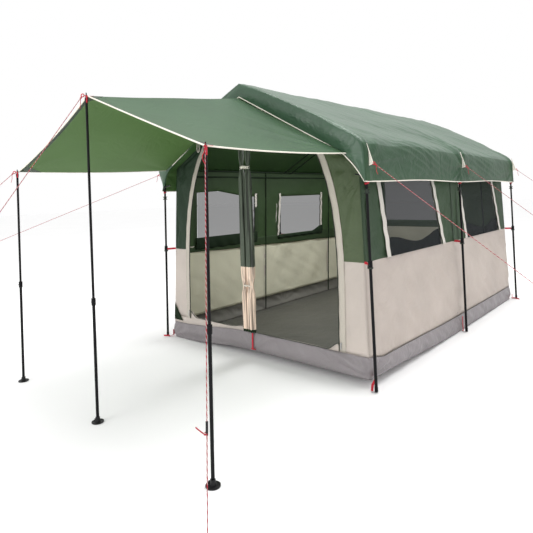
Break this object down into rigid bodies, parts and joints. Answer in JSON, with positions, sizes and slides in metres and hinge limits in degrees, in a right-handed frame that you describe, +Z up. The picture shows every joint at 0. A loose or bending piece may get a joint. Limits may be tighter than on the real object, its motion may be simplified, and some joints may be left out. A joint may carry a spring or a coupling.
{
  "type": "cabin tent",
  "caption": "Cabin tent with a telescoping frame, an arched doorway, mesh side windows, a porch canopy on three poles and guy lines.",
  "frame": {"origin": "on the ground, in the middle of the rectangle from the porch feet to the fly's rear hem", "axes": "+X to the right seen from the porch, +Y to the rear, +Z up"},
  "size_m": [4.4988, 5.617, 2.3659],
  "materials": {
    "pole_black": "semi-matt black powder coat on steel tube",
    "plastic_black": "moulded black plastic, fine grain",
    "guy_cord": "twisted red and white cord",
    "ground_fabric": "grey coated ground fabric",
    "wall_fabric": "woven polyester, green above and beige below",
    "inner_fabric": "dark green woven polyester",
    "fly_fabric": "coated green woven polyester",
    "canopy_fabric": "coated green woven polyester",
    "mesh": "fine black insect mesh",
    "cream_tape": "cream webbing and piping",
    "red_webbing": "red woven webbing",
    "pin_steel": "plain zinc-plated steel"
  },
  "bodies": {
    "root": {"belt_straps": "red_webbing", "canopy": "canopy_fabric", "corner_hooks": "red_webbing", "door_rolls": "wall_fabric", "door_ties": "cream_tape", "eave_elbows": "plastic_black", "fly": "fly_fabric", "foot_pins": "pin_steel", "foot_straps": "red_webbing", "groundsheet": "ground_fabric", "guy_ends": "pin_steel", "guy_eyes": "red_webbing", "guy_left_front": "guy_cord", "guy_left_mid": "guy_cord", "guy_left_rear": "guy_cord", "guy_porch_left": "guy_cord", "guy_porch_mid": "guy_cord", "guy_porch_right": "guy_cord", "guy_right_front": "guy_cord", "guy_right_mid": "guy_cord", "guy_right_rear": "guy_cord", "guy_tabs": "cream_tape", "inner_roof": "inner_fabric", "leg_uppers": "pole_black", "piping": "cream_tape", "porch_loops": "red_webbing", "porch_pole_uppers": "pole_black", "rafters": "pole_black", "ridge_hubs": "plastic_black", "ridge_poles": "pole_black", "wall_clips": "plastic_black", "wall_front": "wall_fabric", "wall_left": "wall_fabric", "wall_rear": "wall_fabric", "wall_right": "wall_fabric", "window_mesh": "mesh"},
    "leg_left_front": {"leg_lower_left_front": "pole_black"},
    "button_left_front": {"leg_button_left_front": "plastic_black"},
    "leg_left_mid": {"leg_lower_left_mid": "pole_black"},
    "button_left_mid": {"leg_button_left_mid": "plastic_black"},
    "leg_left_rear": {"leg_lower_left_rear": "pole_black"},
    "button_left_rear": {"leg_button_left_rear": "plastic_black"},
    "leg_right_front": {"leg_lower_right_front": "pole_black"},
    "button_right_front": {"leg_button_right_front": "plastic_black"},
    "leg_right_mid": {"leg_lower_right_mid": "pole_black"},
    "button_right_mid": {"leg_button_right_mid": "plastic_black"},
    "leg_right_rear": {"leg_lower_right_rear": "pole_black"},
    "button_right_rear": {"leg_button_right_rear": "plastic_black"},
    "porch_pole_left": {"porch_pole_lower_left": "pole_black"},
    "porch_button_left": {"porch_button_left": "plastic_black"},
    "porch_foot_left": {"porch_foot_left": "plastic_black"},
    "porch_pole_mid": {"porch_pole_lower_mid": "pole_black"},
    "porch_button_mid": {"porch_button_mid": "plastic_black"},
    "porch_foot_mid": {"porch_foot_mid": "plastic_black"},
    "porch_pole_right": {"porch_pole_lower_right": "pole_black"},
    "porch_button_right": {"porch_button_right": "plastic_black"},
    "porch_foot_right": {"porch_foot_right": "plastic_black"},
    "zip_left": {"zip_pull_left": "plastic_black"},
    "zip_right": {"zip_pull_right": "plastic_black"},
    "runner": {"guy_runner": "plastic_black"}
  },
  "joints": [
    {"name": "leg_slide_left_front", "type": "slide", "parent": "root", "child": "leg_left_front", "axis": [0.0211, 0, 0.9998], "range_m": [0, 0.44]},
    {"name": "leg_button_left_front", "type": "slide", "parent": "leg_left_front", "child": "button_left_front", "axis": [0, 1, 0], "range_m": [0, 0.0025], "stiffness_N_per_m": 800, "springref_m": -0.001},
    {"name": "leg_slide_left_mid", "type": "slide", "parent": "root", "child": "leg_left_mid", "axis": [0.0211, 0, 0.9998], "range_m": [0, 0.44]},
    {"name": "leg_button_left_mid", "type": "slide", "parent": "leg_left_mid", "child": "button_left_mid", "axis": [0, 1, 0], "range_m": [0, 0.0025], "stiffness_N_per_m": 800, "springref_m": -0.001},
    {"name": "leg_slide_left_rear", "type": "slide", "parent": "root", "child": "leg_left_rear", "axis": [0.0211, 0, 0.9998], "range_m": [0, 0.44]},
    {"name": "leg_button_left_rear", "type": "slide", "parent": "leg_left_rear", "child": "button_left_rear", "axis": [0, 1, 0], "range_m": [0, 0.0025], "stiffness_N_per_m": 800, "springref_m": -0.001},
    {"name": "leg_slide_right_front", "type": "slide", "parent": "root", "child": "leg_right_front", "axis": [-0.0211, 0, 0.9998], "range_m": [0, 0.44]},
    {"name": "leg_button_right_front", "type": "slide", "parent": "leg_right_front", "child": "button_right_front", "axis": [0, 1, 0], "range_m": [0, 0.0025], "stiffness_N_per_m": 800, "springref_m": -0.001},
    {"name": "leg_slide_right_mid", "type": "slide", "parent": "root", "child": "leg_right_mid", "axis": [-0.0211, 0, 0.9998], "range_m": [0, 0.44]},
    {"name": "leg_button_right_mid", "type": "slide", "parent": "leg_right_mid", "child": "button_right_mid", "axis": [0, 1, 0], "range_m": [0, 0.0025], "stiffness_N_per_m": 800, "springref_m": -0.001},
    {"name": "leg_slide_right_rear", "type": "slide", "parent": "root", "child": "leg_right_rear", "axis": [-0.0211, 0, 0.9998], "range_m": [0, 0.44]},
    {"name": "leg_button_right_rear", "type": "slide", "parent": "leg_right_rear", "child": "button_right_rear", "axis": [0, 1, 0], "range_m": [0, 0.0025], "stiffness_N_per_m": 800, "springref_m": -0.001},
    {"name": "porch_slide_left", "type": "slide", "parent": "root", "child": "porch_pole_left", "axis": [0.0157, 0, 0.9999], "range_m": [0, 0.3]},
    {"name": "porch_button_left", "type": "slide", "parent": "porch_pole_left", "child": "porch_button_left", "axis": [0, 1, 0], "range_m": [0, 0.00125], "stiffness_N_per_m": 800, "springref_m": -0.001},
    {"name": "foot_tilt_left", "type": "hinge", "parent": "porch_pole_left", "child": "porch_foot_left", "pos_m": [-1.12329, -2.52, 0.022], "axis": [1, 0, 0], "range_deg": [-10, 10]},
    {"name": "porch_slide_mid", "type": "slide", "parent": "root", "child": "porch_pole_mid", "axis": [0, 0, 1], "range_m": [0, 0.3]},
    {"name": "porch_button_mid", "type": "slide", "parent": "porch_pole_mid", "child": "porch_button_mid", "axis": [0, 1, 0], "range_m": [0, 0.00125], "stiffness_N_per_m": 800, "springref_m": -0.001},
    {"name": "foot_tilt_mid", "type": "hinge", "parent": "porch_pole_mid", "child": "porch_foot_mid", "pos_m": [0, -2.52, 0.022], "axis": [1, 0, 0], "range_deg": [-10, 10]},
    {"name": "porch_slide_right", "type": "slide", "parent": "root", "child": "porch_pole_right", "axis": [0.0157, 0, 0.9999], "range_m": [0, 0.3]},
    {"name": "porch_button_right", "type": "slide", "parent": "porch_pole_right", "child": "porch_button_right", "axis": [0, 1, 0], "range_m": [0, 0.00125], "stiffness_N_per_m": 800, "springref_m": -0.001},
    {"name": "foot_tilt_right", "type": "hinge", "parent": "porch_pole_right", "child": "porch_foot_right", "pos_m": [1.07271, -2.52, 0.022], "axis": [1, 0, 0], "range_deg": [-10, 10]},
    {"name": "zip_slide_left", "type": "slide", "parent": "root", "child": "zip_left", "axis": [0, 0.0204, 0.9998], "range_m": [0, 0.32]},
    {"name": "zip_slide_right", "type": "slide", "parent": "root", "child": "zip_right", "axis": [0, 0.0204, 0.9998], "range_m": [0, 0.32]},
    {"name": "runner_slide", "type": "slide", "parent": "root", "child": "runner", "axis": [-0.2845, 0.2834, 0.9158], "range_m": [-0.25, 0.45]}
  ]
}
